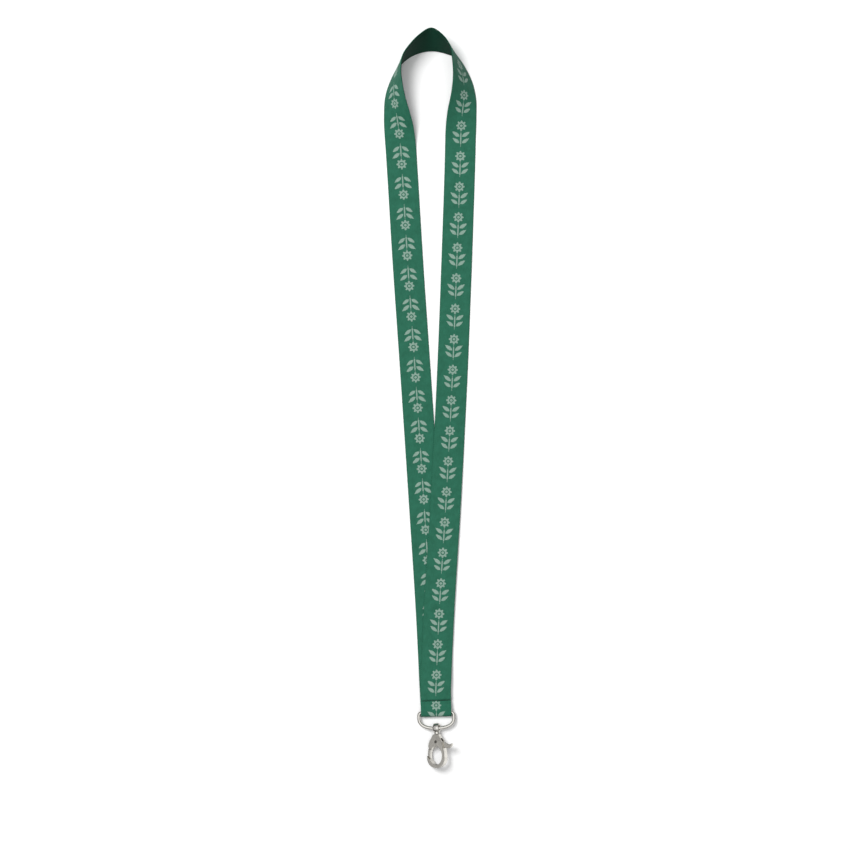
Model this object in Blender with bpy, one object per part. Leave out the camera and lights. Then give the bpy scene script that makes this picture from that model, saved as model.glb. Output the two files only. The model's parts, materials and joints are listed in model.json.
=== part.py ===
"""Neck lanyard of woven ribbon with a D-ring and a swivelling lobster hook.

Metres, +Z up. The lanyard lies on its back on a table at z = 0, with the neck loop towards +Y and the
hook towards -Y. The ribbon's neck stands on its outer edge, because the ribbon is bent edgeways there.
"""

import math

import bmesh
import bpy
from mathutils import Matrix, Vector

MM = 0.001

# Ribbon
RIBBON_WIDTH = 20.0 * MM
RIBBON_THICKNESS = 0.8 * MM
LAYER_GAP = 0.2 * MM
TAIL_PAST_SEAM = 6.0 * MM
END_PAST_SEAM = 3.0 * MM
STRAP_STEP = 9.0 * MM
NECK_STEP = 2.8 * MM
OVERLAP_LEAD = 9.0 * MM
SEAM_RAMP = 26.0 * MM
SEAM_FLAT = 2.0 * MM
FRONT_SHIFT = -0.4 * MM
BEHIND_SHIFT = -0.7 * MM
END_SHIFT = -0.2 * MM

# Cross seam
SEAM_FROM_BAR = 7.7 * MM
THREAD_DIAMETER = 0.35 * MM
THREAD_GAP = 0.2 * MM
STITCHES = 9
STITCH_RISE = 0.08 * MM
SEAM_MARGIN = 1.0 * MM

# D-ring
WIRE_DIAMETER = 2.2 * MM
RING_SIDE_PLAY = 0.3 * MM
RING_REACH = 10.2 * MM
RING_CORNER = 1.9 * MM
RING_SHOULDER = 3.6 * MM
RING_SQUARENESS = 2.4
FOLD_GAP = 0.3 * MM
FOLD_SLACK = 0.6 * MM
FOLD_FLAT = 1.5 * MM
FOLD_TABLE_GAP = 0.05 * MM
HARDWARE_X = 3.9 * MM
BAR_Y = -205.1 * MM
HARDWARE_YAW = math.radians(1.5)

# Swivel eye
EYE_PLAY = 0.55 * MM
EYE_STOCK = 1.45 * MM
EYE_WIDTH = 4.0 * MM
EYE_SLACK = 0.25 * MM
EYE_TABLE_GAP = 0.2 * MM
EYE_ROLL = math.radians(18)
SHOULDER_RADIUS = 1.75 * MM
SHOULDER_LENGTH = 0.4 * MM
SHOULDER_STAND = 0.1 * MM
STEM_RADIUS = 0.85 * MM
BALL_RADIUS = 1.25 * MM
BALL_HALF_LENGTH = 1.1 * MM

# Hook body
BODY_THICKNESS = 4.8 * MM
NECK_TAPER = 0.3
BRIDGE = 1.0 * MM
NECK_HALF_WIDTH = 1.9 * MM
HOOK_RADIUS = 6.3 * MM
HOOK_CENTRE_Y = -10.75 * MM
EYELET_HALF_WIDTH = 4.4 * MM
EYELET_HALF_LENGTH = 6.05 * MM
EYELET_CENTRE_Y = -8.9 * MM
SEAT_HALF_WIDTH = 0.8 * MM
TIP_RUN = 0.6 * MM
EDGE_ROUND = 0.65 * MM
OUTLINE_STEP = 1.3 * MM
CLASP_ROLL = math.radians(26)
STEM_PITCH = math.radians(5.5)
CUT_PAST = 1.0 * MM

# Gate, its pin and its spring
PIN_RADIUS = 0.75 * MM
PIN_CLEARANCE = 0.15 * MM
PIN_RECESS = 0.1 * MM
PIN_EDGE = 0.12 * MM
SWIVEL_CLEARANCE = 0.2 * MM
WINDOW_CLEARANCE = 0.25 * MM
GATE_WIDTH = 2.5 * MM
GATE_SIDE_CLEARANCE = 0.15 * MM
GATE_HEAD_WIDTH = 3.4 * MM
HUB_RADIUS = 2.0 * MM
HUB_CLEARANCE = 0.25 * MM
SLOT_BOTTOM_Y = -4.9 * MM
GATE_EDGE_ROUND = 0.25 * MM
SPRING_WIRE = 0.35 * MM
SPRING_PITCH = 0.45 * MM
SPRING_TURNS = 1.5
SPRING_PIN_GAP = 0.2 * MM
SPRING_POCKET_GAP = 0.2 * MM
SPRING_LEG = 0.5 * MM
LEG_OFFSET = 0.12 * MM
LEG_CLEARANCE = 0.12 * MM
LEG_END_GAP = 0.1 * MM

# Plan of the ribbon's middle from the seam up the right strap, round the neck and down the left strap:
# x and y in mm, the way the across line points in plan, and how far it leans up, in degrees.
RIGHT_STRAP = (
    (5.6, -142.8, 177.6, 0),
    (10.4, -63.5, 177.4, 0),
    (14.3, 12.4, 177.6, 0),
    (17.5, 95.0, 178.0, 0),
    (19.7, 162.0, 178.8, 0),
    (20.0, 175.0, 178.6, 4),
)
NECK = (
    (20.75, 187.4, 177.6, 19),
    (21.75, 197.85, 175.4, 35),
    (21.2, 208.5, 171.0, 50),
    (19.0, 217.75, 158.7, 61),
    (15.7, 226.0, 133.0, 66),
    (9.45, 231.2, 102.3, 61),
    (1.05, 234.6, 92.0, 49.5),
    (-8.2, 231.1, 82.9, 61),
    (-14.2, 226.4, 72.0, 67),
    (-19.15, 220.25, 63.0, 71),
    (-22.1, 212.0, 34.6, 69),
    (-23.25, 203.75, 19.5, 58),
    (-23.05, 195.4, 7.6, 47),
    (-21.9, 187.25, 3.0, 34),
)
LEFT_STRAP = (
    (-20.5, 177.5, 2.0, 16),
    (-19.4, 166.5, 3.0, 3),
    (-18.5, 153.0, 3.6, 0),
    (-14.7, 91.0, 3.8, 0),
    (-9.3, 12.4, 3.8, 0),
    (-4.1, -66.2, 3.7, 0),
    (1.0, -146.7, 3.2, 0),
)

# Half of the hook's outer outline, down from its neck, as y and half width in mm from the gate's pin.
HOOK_SIDE = (
    (4.2, 2.35),
    (2.2, 3.3),
    (0.0, 4.6),
    (-3.85, 5.5),
    (-7.85, 6.2),
)
# The mouth that the gate shuts, in mm from the gate's pin.
MOUTH_TOP = ((-3.5, -4.55), (-4.3, -4.5), (-5.0, -4.05))
MOUTH_OUTER_Y = -3.3 * MM
EYELET_START = (-2.75, -4.35)
HOOK_TIP_OUTER = (-6.28, -9.05)
HOOK_TIP_INNER = (-4.2, -11.85)

# The gate from its lever's tip over the hub to the arm and back, in mm from its pin.
GATE_OUTLINE = (
    (12.0, -1.3),
    (11.6, -0.7),
    (10.6, -1.35),
    (9.2, -1.5),
    (7.6, -0.95),
    (5.5, 0.0),
    (4.0, 0.35),
    (2.9, 0.6),
    (1.8, 0.95),
    (1.15, 1.6),
    (0.0, 2.0),
    (-1.2, 1.75),
    (-2.8, 0.85),
    (-4.2, -0.7),
    (-5.0, -2.3),
    (-5.5, -4.0),
    (-5.85, -6.0),
    (-6.1, -8.0),
    (-6.16, -8.7),
    (-4.3, -11.2),
    (-4.22, -10.4),
    (-4.4, -9.0),
    (-4.35, -7.6),
    (-4.05, -6.0),
    (-3.5, -4.8),
    (-2.6, -3.6),
    (-1.3, -2.75),
    (0.0, -2.45),
    (2.0, -2.6),
    (4.2, -3.2),
    (6.5, -3.95),
    (8.6, -4.2),
    (10.4, -3.6),
    (11.6, -2.4),
)
GATE_HEAD_OUTLINE = (
    (-5.6, -4.35),
    (-5.85, -6.0),
    (-6.1, -8.0),
    (-6.16, -8.7),
    (-4.3, -11.2),
    (-4.22, -10.4),
    (-4.4, -9.0),
    (-4.35, -7.6),
    (-4.05, -6.0),
    (-3.75, -5.15),
    (-4.4, -4.95),
    (-5.15, -4.75),
)

# The straps lie clear of each other above this height up the table.
STRAPS_PART_Y = 120.0 * MM

# Heights and places that follow from the sizes above
BAR_RADIUS = WIRE_DIAMETER / 2
FOLD_RADIUS = BAR_RADIUS + FOLD_GAP + RIBBON_THICKNESS / 2
BAR_Z = FOLD_RADIUS + RIBBON_THICKNESS / 2 + FOLD_TABLE_GAP
LAYER_STEP = RIBBON_THICKNESS + LAYER_GAP
TAIL_Z = THREAD_DIAMETER + THREAD_GAP + RIBBON_THICKNESS / 2
END_Z = TAIL_Z + LAYER_STEP
FRONT_Z = END_Z + LAYER_STEP
SEAM_Y = BAR_Y + SEAM_FROM_BAR
TAIL_END_Y = SEAM_Y + TAIL_PAST_SEAM
EYE_HOLE_RADIUS = BAR_RADIUS + EYE_PLAY
EYE_RING_RADIUS = EYE_HOLE_RADIUS + EYE_STOCK / 2
EYE_OUTER_RADIUS = EYE_HOLE_RADIUS + EYE_STOCK
SHOULDER_END = EYE_OUTER_RADIUS + SHOULDER_STAND
NECK_TOP_FROM_EYE = SHOULDER_END + SWIVEL_CLEARANCE
BALL_FROM_EYE = NECK_TOP_FROM_EYE + BRIDGE + WINDOW_CLEARANCE + BALL_HALF_LENGTH
WINDOW_HALF_LENGTH = BALL_HALF_LENGTH + WINDOW_CLEARANCE
WINDOW_HALF_WIDTH = BALL_RADIUS + WINDOW_CLEARANCE
SLOT_TOP_Y = HUB_RADIUS + HUB_CLEARANCE
BALL_Y = SLOT_TOP_Y - WINDOW_CLEARANCE + WINDOW_HALF_LENGTH
NECK_TOP_Y = BALL_Y + WINDOW_HALF_LENGTH + BRIDGE
SLOT_WIDTH = GATE_WIDTH + 2 * GATE_SIDE_CLEARANCE


def clear_scene():
    """Start from an empty scene."""
    for obj in list(bpy.data.objects):
        bpy.data.objects.remove(obj, do_unlink=True)


def material(name, colour, roughness, metallic):
    """One Principled material."""
    made = bpy.data.materials.new(name)
    made.use_nodes = True
    shader = made.node_tree.nodes["Principled BSDF"]
    shader.inputs["Base Color"].default_value = (*colour, 1.0)
    shader.inputs["Roughness"].default_value = roughness
    shader.inputs["Metallic"].default_value = metallic
    return made


def millimetres(points):
    """Points given in millimetres, as vectors in metres."""
    return [Vector((x, y, 0.0)) * MM for x, y in points]


def add_object(name, data, frame, finish=None):
    """Link an object at a frame, with its material."""
    obj = bpy.data.objects.new(name, data)
    bpy.context.collection.objects.link(obj)
    obj.matrix_world = frame
    if finish is not None:
        data.materials.append(finish)
    return obj


def mesh_object(name, bm, frame, finish=None, smooth=True):
    """Turn a bmesh into an object whose faces point outwards."""
    bmesh.ops.recalc_face_normals(bm, faces=bm.faces)
    mesh = bpy.data.meshes.new(name)
    bm.to_mesh(mesh)
    bm.free()
    if smooth:
        mesh.shade_smooth()
        mesh.set_sharp_from_angle(angle=math.radians(35))
    return add_object(name, mesh, frame, finish)


def as_cutter(obj):
    """Keep a shape as a guide for Booleans only."""
    obj.hide_render = True
    obj.display_type = "WIRE"
    return obj


def combine(obj, other, operation):
    """Boolean one object with another."""
    modifier = obj.modifiers.new(operation.title(), "BOOLEAN")
    modifier.operation = operation
    modifier.solver = "EXACT"
    modifier.object = as_cutter(other)


def round_edges(obj, width, segments=2):
    """Bevel the sharp edges of an object."""
    bevel = obj.modifiers.new("Edges", "BEVEL")
    bevel.width = width
    bevel.segments = segments
    bevel.limit_method = "ANGLE"
    bevel.angle_limit = math.radians(40)


def smooth_through(points, long_step=None, short_step=None):
    """Samples of one smooth curve through the points, each a tuple that starts with two lengths."""
    long_step = long_step or STRAP_STEP
    short_step = short_step or NECK_STEP
    knots = [0.0]
    for here, after in zip(points, points[1:]):
        knots.append(knots[-1] + math.dist(here[:2], after[:2]))
    slopes = [
        [(b - a) / (k1 - k0) for a, b in zip(here, after)]
        for here, after, k0, k1 in zip(points, points[1:], knots, knots[1:])
    ]
    tangents = [slopes[0]]
    for i in range(1, len(points) - 1):
        before = knots[i] - knots[i - 1]
        ahead = knots[i + 1] - knots[i]
        tangents.append(
            [(u * ahead + v * before) / (before + ahead) for u, v in zip(slopes[i - 1], slopes[i])]
        )
    tangents.append(slopes[-1])
    samples = []
    for i in range(len(points) - 1):
        span = knots[i + 1] - knots[i]
        steps = max(1, math.ceil(span / (long_step if span > 2 * long_step else short_step)))
        for step in range(steps):
            t = step / steps
            weights = (
                2 * t**3 - 3 * t**2 + 1,
                (t**3 - 2 * t**2 + t) * span,
                3 * t**2 - 2 * t**3,
                (t**3 - t**2) * span,
            )
            channels = zip(points[i], tangents[i], points[i + 1], tangents[i + 1])
            samples.append(tuple(sum(w * c for w, c in zip(weights, four)) for four in channels))
    samples.append(tuple(points[-1]))
    return samples


def in_metres(stations):
    """Plan stations with x and y in metres and the two angles in radians."""
    return [(x * MM, y * MM, math.radians(h), math.radians(l)) for x, y, h, l in stations]


def smoothstep(value):
    """Ease from 0 to 1."""
    value = min(1.0, max(0.0, value))
    return value * value * (3 - 2 * value)


def across_line(heading, lean):
    """The unit vector from the ribbon's outer edge to its inner edge."""
    flat = math.cos(lean)
    return Vector((math.cos(heading) * flat, math.sin(heading) * flat, math.sin(lean)))


def middle_x(samples, y):
    """Where a run of samples that goes down the table has its middle at a height up the table."""
    for (x0, y0, *_), (x1, y1, *_) in zip(samples, samples[1:]):
        if y1 <= y <= y0:
            return x0 + (x1 - x0) * (y0 - y) / (y0 - y1)
    return samples[-1][0]


def overlap_rise(overlap):
    """How far the right strap lies above the table and leans where it runs onto the left strap."""
    full_lean = math.asin(LAYER_STEP / RIBBON_WIDTH)
    if overlap <= 0:
        return 0.0, full_lean * smoothstep(1 + overlap / OVERLAP_LEAD)
    lean = full_lean * (1 - min(1.0, overlap / (RIBBON_WIDTH / 2)))
    return LAYER_STEP - max(0.0, RIBBON_WIDTH - overlap) * math.sin(lean), lean


def seam_rise(y):
    """Share of the climb on to the tail that a strap has made at a height up the table."""
    return smoothstep((TAIL_END_Y + SEAM_RAMP - y) / (SEAM_RAMP - SEAM_FLAT))


def hardware_point(x, y, z):
    """A point given along the D-ring's bar, up the strap from the bar, and above the table."""
    turned = Matrix.Rotation(HARDWARE_YAW, 4, "Z") @ Vector((x, y, 0))
    return turned + Vector((HARDWARE_X, BAR_Y, z))


def fold_run(bar_height, seam_height):
    """One side of the fold from the bar to the seam, as distances from the bar and heights."""
    steps = 4
    run = SEAM_FROM_BAR - SEAM_FLAT - FOLD_FLAT
    points = []
    for step in range(steps + 1):
        share = step / steps
        height = bar_height + (seam_height - bar_height) * smoothstep(share)
        points.append((FOLD_FLAT + run * share, height))
    return points


def fold_stations():
    """Middle of the ribbon from its tail, round the D-ring's bar, to the front of the seam."""
    profile = [
        (TAIL_END_Y - BAR_Y, TAIL_Z),
        (SEAM_FROM_BAR + SEAM_FLAT, TAIL_Z),
        (SEAM_FROM_BAR, TAIL_Z),
        *reversed(fold_run(BAR_Z - FOLD_RADIUS, TAIL_Z)),
    ]
    arc_steps = 12
    for step in range(arc_steps + 1):
        angle = -math.pi / 2 - math.pi * step / arc_steps
        profile.append(
            (FOLD_RADIUS * math.cos(angle) - FOLD_SLACK, BAR_Z + FOLD_RADIUS * math.sin(angle))
        )
    profile += [
        *fold_run(BAR_Z + FOLD_RADIUS, FRONT_Z),
        (SEAM_FROM_BAR, FRONT_Z),
        (SEAM_FROM_BAR + SEAM_FLAT, FRONT_Z),
    ]
    across = across_line(math.pi + HARDWARE_YAW, 0.0)
    return [(hardware_point(0, y, z), across) for y, z in profile]


def strap_plan():
    """Samples of the plan from the seam's front, round the neck, to the left strap's end in the seam."""
    front = (HARDWARE_X + FRONT_SHIFT, TAIL_END_Y, math.pi + 0.5 * HARDWARE_YAW, 0.0)
    behind = (HARDWARE_X + BEHIND_SHIFT, TAIL_END_Y, HARDWARE_YAW, 0.0)
    end = (HARDWARE_X + END_SHIFT, SEAM_Y - END_PAST_SEAM, HARDWARE_YAW, 0.0)
    plan = in_metres((*RIGHT_STRAP, *NECK, *LEFT_STRAP))
    return smooth_through([front, *plan, behind, end])


def strap_stations():
    """Middle of the ribbon and its across line from the seam's front to the left strap's end."""
    samples = strap_plan()
    top = max(range(len(samples)), key=lambda i: samples[i][1])
    flat = RIBBON_THICKNESS / 2
    stations = []
    for i, (x, y, heading, lean) in enumerate(samples):
        lean = max(0.0, lean)
        climb = (END_Z - flat) * seam_rise(y)
        if i < top and y < STRAPS_PART_Y:
            overlap = RIBBON_WIDTH - (x - middle_x(samples[top:], y))
            lift, overlap_lean = overlap_rise(overlap)
            climb += lift
            lean += overlap_lean
        height = climb + flat * math.cos(lean) + RIBBON_WIDTH / 2 * math.sin(lean)
        stations.append((Vector((x, y, height)), across_line(heading, lean)))
    return stations


def make_ribbon(finish):
    """The whole ribbon as one closed strip."""
    stations = fold_stations() + strap_stations()
    bm = bmesh.new()
    rings = []
    for i, (middle, across) in enumerate(stations):
        before = stations[max(0, i - 1)][0]
        after = stations[min(len(stations) - 1, i + 1)][0]
        along = (after - before).normalized()
        face = along.cross(across).normalized()
        half_width = across * RIBBON_WIDTH / 2
        half_thick = face * RIBBON_THICKNESS / 2
        corners = (
            middle - half_width - half_thick,
            middle + half_width - half_thick,
            middle + half_width + half_thick,
            middle - half_width + half_thick,
        )
        rings.append([bm.verts.new(corner) for corner in corners])
    for ring, following in zip(rings, rings[1:]):
        for i in range(4):
            j = (i + 1) % 4
            bm.faces.new((ring[i], ring[j], following[j], following[i]))
    bm.faces.new(rings[0])
    bm.faces.new(rings[-1])
    return mesh_object("ribbon", bm, Matrix(), finish)


def make_wire(name, points, diameter, closed, frame, finish, sides=2):
    """A round wire or thread along a line of points."""
    curve = bpy.data.curves.new(name, "CURVE")
    curve.dimensions = "3D"
    curve.bevel_depth = diameter / 2
    curve.bevel_resolution = sides
    curve.use_fill_caps = not closed
    spline = curve.splines.new("POLY")
    spline.points.add(len(points) - 1)
    for target, point in zip(spline.points, points):
        target.co = (*point, 1.0)
    spline.use_cyclic_u = closed
    return add_object(name, curve, frame, finish)


def make_seam_thread(name, height, rise, finish):
    """One row of stitches across the ribbon at the seam."""
    half = RIBBON_WIDTH / 2 - SEAM_MARGIN
    points = []
    for step in range(STITCHES * 4 + 1):
        share = step / (STITCHES * 4)
        lift = rise * abs(math.sin(math.pi * STITCHES * share))
        points.append(hardware_point(half * (2 * share - 1), SEAM_FROM_BAR, height + lift))
    return make_wire(name, points, THREAD_DIAMETER, False, Matrix(), finish, sides=1)


def ring_line():
    """Middle line of the D-ring's wire, with its bar along X and its round side towards -Y."""
    half = RIBBON_WIDTH / 2 + RING_SIDE_PLAY + BAR_RADIUS
    bar_end = half - RING_CORNER
    side = [Vector((bar_end * step / 4, 0, 0)) for step in range(4)]
    for step in range(6):
        angle = math.pi / 2 * (1 - step / 5)
        side.append(
            Vector((bar_end + RING_CORNER * math.cos(angle), RING_CORNER * (math.sin(angle) - 1), 0))
        )
    arc_steps = 12
    power = 2 / RING_SQUARENESS
    for step in range(arc_steps + 1):
        angle = math.pi / 2 * step / arc_steps
        across = half * max(0.0, math.cos(angle)) ** power
        down = (RING_REACH - RING_SHOULDER) * math.sin(angle) ** power
        side.append(Vector((across, -RING_SHOULDER - down, 0)))
    side[-1].x = 0.0
    other = [Vector((-p.x, p.y, 0)) for p in reversed(side[1:-1])]
    return side + other


def spin_profile(bm, points, axis, steps, closed=False):
    """Turn a line of points round an axis through the origin into a closed skin."""
    verts = [bm.verts.new(point) for point in points]
    edges = [bm.edges.new(pair) for pair in zip(verts, verts[1:])]
    if closed:
        edges.append(bm.edges.new((verts[-1], verts[0])))
    bmesh.ops.spin(
        bm,
        geom=verts + edges,
        cent=(0, 0, 0),
        axis=axis,
        angle=2 * math.pi,
        steps=steps,
        use_merge=True,
    )
    bmesh.ops.remove_doubles(bm, verts=bm.verts, dist=1e-6)


def make_eye(frame, finish):
    """Cast eye, shoulder, stem and peened ball in one piece, with the D-ring's wire at the origin."""
    ring = bmesh.new()
    section = []
    for step in range(14):
        angle = 2 * math.pi * step / 14
        out = EYE_RING_RADIUS + EYE_STOCK / 2 * math.sin(angle)
        section.append(Vector((EYE_WIDTH / 2 * math.cos(angle), out, 0)))
    spin_profile(ring, section, (1, 0, 0), 32, closed=True)
    bmesh.ops.translate(ring, verts=ring.verts, vec=(0, EYE_SLACK, 0))
    eye = mesh_object("swivel_eye", ring, frame, finish)

    stem = bmesh.new()
    shoulder_start = SHOULDER_END - SHOULDER_LENGTH
    profile = [
        (0.0, EYE_RING_RADIUS),
        (0.8 * SHOULDER_RADIUS, EYE_RING_RADIUS),
        (SHOULDER_RADIUS, shoulder_start),
        (SHOULDER_RADIUS, SHOULDER_END),
        (STEM_RADIUS, SHOULDER_END),
    ]
    ball_steps = 8
    start = math.asin(STEM_RADIUS / BALL_RADIUS)
    for step in range(ball_steps + 1):
        angle = start + (math.pi - start) * step / ball_steps
        profile.append(
            (BALL_RADIUS * math.sin(angle), BALL_FROM_EYE - BALL_HALF_LENGTH * math.cos(angle))
        )
    profile[-1] = (0.0, profile[-1][1])
    points = [Vector((radius, EYE_SLACK - down, 0)) for radius, down in profile]
    spin_profile(stem, points, (0, 1, 0), 24)
    combine(eye, mesh_object("eye_stem", stem, frame), "UNION")
    return eye


def extruded(name, outline, thickness, frame, finish=None, z_low=None, shape=None):
    """A flat outline given depth along Z, centred on z = 0 unless z_low is given."""
    bm = bmesh.new()
    low = -thickness / 2 if z_low is None else z_low
    face = bm.faces.new([bm.verts.new((p.x, p.y, low)) for p in outline])
    grown = bmesh.ops.extrude_face_region(bm, geom=[face])["geom"]
    tops = [item for item in grown if isinstance(item, bmesh.types.BMVert)]
    bmesh.ops.translate(bm, verts=tops, vec=(0, 0, thickness))
    if shape is not None:
        shape(bm)
    return mesh_object(name, bm, frame, finish)


def round_bar(name, radius, z_low, z_high, frame, finish=None, segments=24):
    """A cylinder along Z."""
    bm = bmesh.new()
    middle = Matrix.Translation((0, 0, (z_low + z_high) / 2))
    bmesh.ops.create_cone(
        bm,
        cap_ends=True,
        segments=segments,
        radius1=radius,
        radius2=radius,
        depth=z_high - z_low,
        matrix=middle,
    )
    return mesh_object(name, bm, frame, finish)


def hook_outline():
    """Outline of the hook from the top of its mouth, over the neck and round to the mouth again."""
    profile = [(NECK_TOP_Y, NECK_HALF_WIDTH)]
    profile += [(y * MM, half * MM) for y, half in HOOK_SIDE]
    profile.append((HOOK_CENTRE_Y, HOOK_RADIUS))
    sampled = smooth_through(profile, short_step=OUTLINE_STEP)
    left = [Vector((-half, y, 0)) for y, half in reversed(sampled) if y > MOUTH_OUTER_Y]
    right = [Vector((half, y, 0)) for y, half in sampled]
    tip_outer, tip_inner = millimetres((HOOK_TIP_OUTER, HOOK_TIP_INNER))
    bottom = []
    arc_steps = 22
    for step in range(1, arc_steps + 1):
        angle = -math.pi * step / arc_steps
        point = Vector((HOOK_RADIUS * math.cos(angle), HOOK_CENTRE_Y + HOOK_RADIUS * math.sin(angle), 0))
        if point.x > 0 or point.y < tip_outer.y - TIP_RUN:
            bottom.append(point)
    return [*left, *right, *bottom, tip_outer, *eyelet_line(tip_inner), *millimetres(MOUTH_TOP)]


def eyelet_arc(first, last, steps):
    """Points of the eyelet's oval between two angles."""
    line = []
    for step in range(steps + 1):
        angle = first + (last - first) * step / steps
        across = EYELET_HALF_WIDTH * math.cos(angle)
        line.append(Vector((across, EYELET_CENTRE_Y + EYELET_HALF_LENGTH * math.sin(angle), 0)))
    return line


def eyelet_line(tip_inner):
    """Inner wall of the hook from its tip round the bottom and up to the web, with a flat seat."""
    start = Vector((EYELET_START[0] * MM, EYELET_START[1] * MM, 0))
    below_tip = (tip_inner.y - TIP_RUN - EYELET_CENTRE_Y) / EYELET_HALF_LENGTH
    first = -math.pi - math.asin(below_tip)
    last = math.acos((start.x + TIP_RUN) / EYELET_HALF_WIDTH)
    seat = math.asin(SEAT_HALF_WIDTH / EYELET_HALF_WIDTH)
    left = eyelet_arc(first, -math.pi / 2 - seat, 6)
    right = eyelet_arc(-math.pi / 2 + seat, last, 28)
    return [tip_inner, *left, *right, start]


def taper_neck(bm):
    """Thin the hook towards its neck."""
    for vert in bm.verts:
        share = min(1.0, max(0.0, vert.co.y / NECK_TOP_Y))
        vert.co.z *= 1 - NECK_TAPER * share


def make_body(frame, finish):
    """Cast hook with its neck bridge, ball pocket open at the back, gate slot and pin hole."""
    body = extruded("clasp_body", hook_outline(), BODY_THICKNESS, frame, finish, shape=taper_neck)
    round_edges(body, EDGE_ROUND)
    through = BODY_THICKNESS + 2 * CUT_PAST
    reach = 2 * HOOK_RADIUS
    slot = [
        Vector((-reach, SLOT_BOTTOM_Y, 0)),
        Vector((reach, SLOT_BOTTOM_Y, 0)),
        Vector((reach, SLOT_TOP_Y, 0)),
        Vector((-reach, SLOT_TOP_Y, 0)),
    ]
    window = []
    for step in range(20):
        angle = 2 * math.pi * step / 20
        window.append(
            Vector(
                (WINDOW_HALF_WIDTH * math.cos(angle), BALL_Y + WINDOW_HALF_LENGTH * math.sin(angle), 0)
            )
        )
    stem_bore = frame @ Matrix.Translation((0, BALL_Y, 0)) @ Matrix.Rotation(-math.pi / 2, 4, "X")
    combine(body, extruded("slot_cutter", slot, SLOT_WIDTH, frame), "DIFFERENCE")
    window_depth = through / 2 + WINDOW_HALF_WIDTH
    pocket = extruded("window_cutter", window, window_depth, frame, z_low=-through / 2)
    combine(body, pocket, "DIFFERENCE")
    bore_end = NECK_TOP_Y - BALL_Y + CUT_PAST
    bore = round_bar("stem_cutter", STEM_RADIUS + SWIVEL_CLEARANCE, 0.0, bore_end, stem_bore)
    combine(body, bore, "DIFFERENCE")
    pin_hole = round_bar(
        "pin_cutter", PIN_RADIUS + PIN_CLEARANCE, -through / 2, through / 2, frame
    )
    combine(body, pin_hole, "DIFFERENCE")
    leg = spring_leg_point()
    leg_frame = frame @ Matrix.Translation((leg.x, leg.y - LEG_OFFSET, 0))
    leg_top = SLOT_WIDTH / 2 + SPRING_LEG + LEG_END_GAP
    leg_radius = SPRING_WIRE / 2 + LEG_CLEARANCE
    leg_hole = round_bar(
        "leg_cutter", leg_radius, GATE_WIDTH / 4, leg_top, leg_frame, segments=12
    )
    combine(body, leg_hole, "DIFFERENCE")
    return body


def make_gate(frame, finish):
    """Thumb lever, hub and gate arm in one casting, with a pocket for the spring."""
    gate = extruded("gate_lever", millimetres(GATE_OUTLINE), GATE_WIDTH, frame, finish)
    round_edges(gate, GATE_EDGE_ROUND)
    head = extruded("gate_head", millimetres(GATE_HEAD_OUTLINE), GATE_HEAD_WIDTH, frame)
    round_edges(head, GATE_EDGE_ROUND)
    combine(gate, head, "UNION")
    hole = round_bar("gate_hole_cutter", PIN_RADIUS + PIN_CLEARANCE, -GATE_WIDTH, GATE_WIDTH, frame)
    combine(gate, hole, "DIFFERENCE")
    pocket_radius = spring_radius() + SPRING_WIRE / 2 + SPRING_POCKET_GAP
    pocket = round_bar("pocket_cutter", pocket_radius, spring_start() - SPRING_WIRE, GATE_WIDTH, frame)
    combine(gate, pocket, "DIFFERENCE")
    return gate


def make_pin(frame, finish):
    """Plain rivet pin through the hook's cheeks."""
    half = BODY_THICKNESS / 2 - PIN_RECESS
    pin = round_bar("gate_pin", PIN_RADIUS, -half, half, frame, finish)
    round_edges(pin, PIN_EDGE, segments=1)
    return pin


def spring_radius():
    """Mean radius of the torsion spring's coil."""
    return PIN_RADIUS + SPRING_PIN_GAP + SPRING_WIRE / 2


def spring_start():
    """Height of the coil's first turn in the gate's pocket."""
    coil = SPRING_TURNS * SPRING_PITCH
    return GATE_WIDTH / 2 - SPRING_WIRE / 2 - coil


def spring_leg_point():
    """Where the coil ends and its fixed leg turns up into the hook's cheek."""
    angle = 2 * math.pi * SPRING_TURNS
    return Vector((math.cos(angle), math.sin(angle), 0)) * spring_radius()


def make_spring(frame, finish):
    """Torsion spring: a coil round the pin with its fixed leg along the pin."""
    steps = 16
    points = []
    for step in range(round(SPRING_TURNS * steps) + 1):
        turn = step / steps
        angle = 2 * math.pi * turn
        radius = spring_radius()
        points.append(
            Vector(
                (
                    radius * math.cos(angle),
                    radius * math.sin(angle),
                    spring_start() + SPRING_PITCH * turn,
                )
            )
        )
    top = points[-1]
    points.append(top + Vector((0, -LEG_OFFSET, LEG_OFFSET)))
    points.append(Vector((top.x, top.y - LEG_OFFSET, SLOT_WIDTH / 2 + SPRING_LEG)))
    return make_wire("gate_spring", points, SPRING_WIRE, False, frame, finish, sides=1)


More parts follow.
